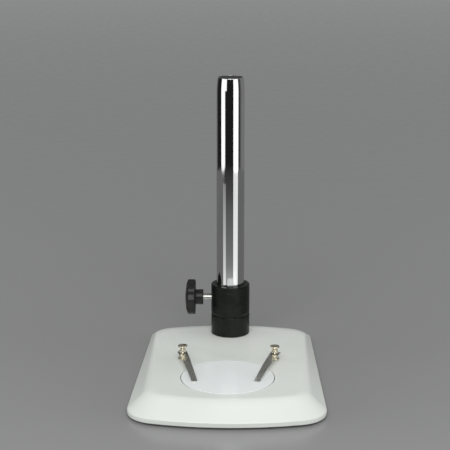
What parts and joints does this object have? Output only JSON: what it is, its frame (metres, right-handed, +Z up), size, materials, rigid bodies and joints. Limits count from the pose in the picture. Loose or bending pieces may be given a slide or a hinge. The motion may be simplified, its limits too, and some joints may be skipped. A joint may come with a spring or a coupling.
{
  "type": "microscope pillar stand",
  "caption": "White table base with a round stage plate and two spring clips, carrying an upright chrome pillar with a black clamp collar and side knob.",
  "frame": {"origin": "centre of the footprint, on the table surface under the rubber feet", "axes": "+Z up along the pillar, +Y from the stage towards the pillar, +X to the user's right; the clamp knob is on the -X side"},
  "size_m": [0.2096, 0.292, 0.3288],
  "materials": {
    "white_paint": "satin sprayed enamel on cast metal",
    "plate_white": "smooth white plate, slightly cooler than the base",
    "chrome": "mirror hard chrome",
    "black_anodised": "black anodised, fine turned lines",
    "black_plastic": "black moulded plastic, satin",
    "zinc_steel": "zinc plated",
    "nickel": "warm nickel plate, turned",
    "spring_steel": "dark polished spring steel",
    "rubber": "matt black rubber",
    "nylon": "dark nylon"
  },
  "bodies": {
    "stand": {"base_casting": "white_paint", "pillar": "chrome", "pillar_plug": "zinc_steel", "pillar_end_cap": "black_plastic", "pillar_bolt": "zinc_steel", "pillar_bolt_washer": "zinc_steel", "pillar_flange": "black_anodised", "flange_screw_1": "zinc_steel", "flange_screw_2": "zinc_steel", "flange_screw_3": "zinc_steel", "front_left_foot": "rubber", "front_right_foot": "rubber", "back_left_foot": "rubber", "back_right_foot": "rubber", "front_left_foot_screw": "zinc_steel", "front_right_foot_screw": "zinc_steel", "back_left_foot_screw": "zinc_steel", "back_right_foot_screw": "zinc_steel"},
    "stage": {"stage_plate": "plate_white"},
    "collar_carrier": {"collar_washer": "nylon"},
    "collar": {"clamp_collar": "black_anodised"},
    "clamp_tip": {"clamp_pad": "nickel"},
    "clamp_handle": {"clamp_knob": "black_plastic", "clamp_stud": "chrome"},
    "left_clip": {"left_clip_post": "nickel", "left_clip_bush": "nickel", "left_clip_washer": "zinc_steel", "left_clip_nut": "zinc_steel"},
    "left_clip_leaf": {"left_clip_spring": "spring_steel"},
    "right_clip": {"right_clip_post": "nickel", "right_clip_bush": "nickel", "right_clip_washer": "zinc_steel", "right_clip_nut": "zinc_steel"},
    "right_clip_leaf": {"right_clip_spring": "spring_steel"}
  },
  "joints": [
    {"name": "collar_slide", "type": "slide", "parent": "stand", "child": "collar_carrier", "axis": [0, 0, 1], "range_m": [0, 0.231]},
    {"name": "collar_swivel", "type": "hinge", "parent": "collar_carrier", "child": "collar", "pos_m": [0, 0.088, 0.0508], "axis": [0, 0, 1], "continuous": true},
    {"name": "clamp_travel", "type": "slide", "parent": "collar", "child": "clamp_tip", "axis": [-1, 0, 0], "range_m": [0, 0.0026]},
    {"name": "clamp_turn", "type": "hinge", "parent": "clamp_tip", "child": "clamp_handle", "pos_m": [-0.03, 0.088, 0.0695], "axis": [-1, 0, 0], "range_deg": [0, 720]},
    {"name": "stage_turn", "type": "hinge", "parent": "stand", "child": "stage", "pos_m": [0, -0.0617, 0.0265], "axis": [0, 0, 1], "continuous": true},
    {"name": "left_clip_swivel", "type": "hinge", "parent": "stand", "child": "left_clip", "pos_m": [-0.0512, -0.006, 0.0265], "axis": [0, 0, 1], "range_deg": [-170, 20]},
    {"name": "left_clip_lift", "type": "hinge", "parent": "left_clip", "child": "left_clip_leaf", "pos_m": [-0.0512, -0.006, 0.03355], "axis": [-0.9751, -0.2215, 0], "range_deg": [0, 3.5], "stiffness_Nm_per_rad": 2.4, "springref_deg": -1.72},
    {"name": "right_clip_swivel", "type": "hinge", "parent": "stand", "child": "right_clip", "pos_m": [0.0512, -0.006, 0.0265], "axis": [0, 0, 1], "range_deg": [-20, 170]},
    {"name": "right_clip_lift", "type": "hinge", "parent": "right_clip", "child": "right_clip_leaf", "pos_m": [0.0512, -0.006, 0.03355], "axis": [-0.9627, 0.2706, 0], "range_deg": [0, 3.5], "stiffness_Nm_per_rad": 2.4, "springref_deg": -1.72}
  ],
  "couplings": [
    {"joint": "clamp_travel", "follows": "clamp_turn", "m_per_rad": 0.00019894}
  ]
}
